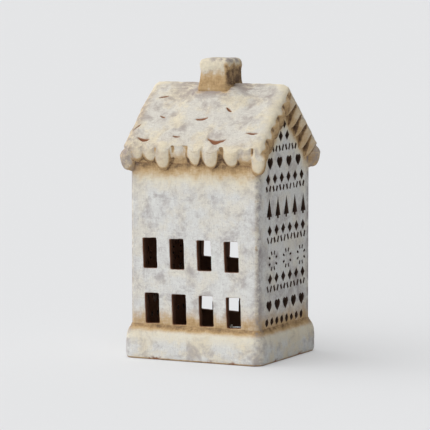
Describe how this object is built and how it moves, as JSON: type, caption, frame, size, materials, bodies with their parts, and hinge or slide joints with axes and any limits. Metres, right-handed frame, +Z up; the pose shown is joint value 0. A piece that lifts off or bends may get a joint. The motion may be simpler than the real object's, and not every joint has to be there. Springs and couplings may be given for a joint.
{
  "type": "tealight house",
  "caption": "Slab-built clay house with a snowy roof, cut-out windows and pierced gables, open below, set over a tealight that shines out through the openings.",
  "frame": {"origin": "on the table, under the middle of the house's footprint", "axes": "+Z up, +X along the long walls towards the right gable, front wall facing -Y"},
  "size_m": [0.1064, 0.0928, 0.2],
  "materials": {
    "whitewashed_clay": "matt whitewash, mottled and worn over terracotta",
    "snow_clay": "matt cream snow with grey and brown wash in the hollows",
    "stained_clay": "matt ochre stain over whitewash",
    "cup_aluminium": "bright pressed sheet",
    "paraffin": "waxy, slightly translucent",
    "cotton": "waxed braided cotton",
    "tin_plate": "bright tin"
  },
  "bodies": {
    "tealight": {"tealight_cup": "cup_aluminium", "tealight_wax": "paraffin", "wick": "cotton", "wick_sustainer": "tin_plate"},
    "house": {"front_wall": "whitewashed_clay", "back_wall": "whitewashed_clay", "right_gable": "whitewashed_clay", "left_gable": "whitewashed_clay", "plinth_front": "whitewashed_clay", "plinth_back": "whitewashed_clay", "plinth_right": "whitewashed_clay", "plinth_left": "whitewashed_clay", "roof_front": "snow_clay", "roof_back": "snow_clay", "chimney_snow": "snow_clay", "front_eave_snow": "snow_clay", "back_eave_snow": "snow_clay", "right_rake_snow_front": "snow_clay", "right_rake_snow_back": "snow_clay", "left_rake_snow_front": "snow_clay", "left_rake_snow_back": "snow_clay", "chimney": "stained_clay"}
  },
  "joints": [
    {"name": "house_lift", "type": "slide", "parent": "tealight", "child": "house", "axis": [0, 0, 1], "range_m": [0, 0.05]}
  ]
}
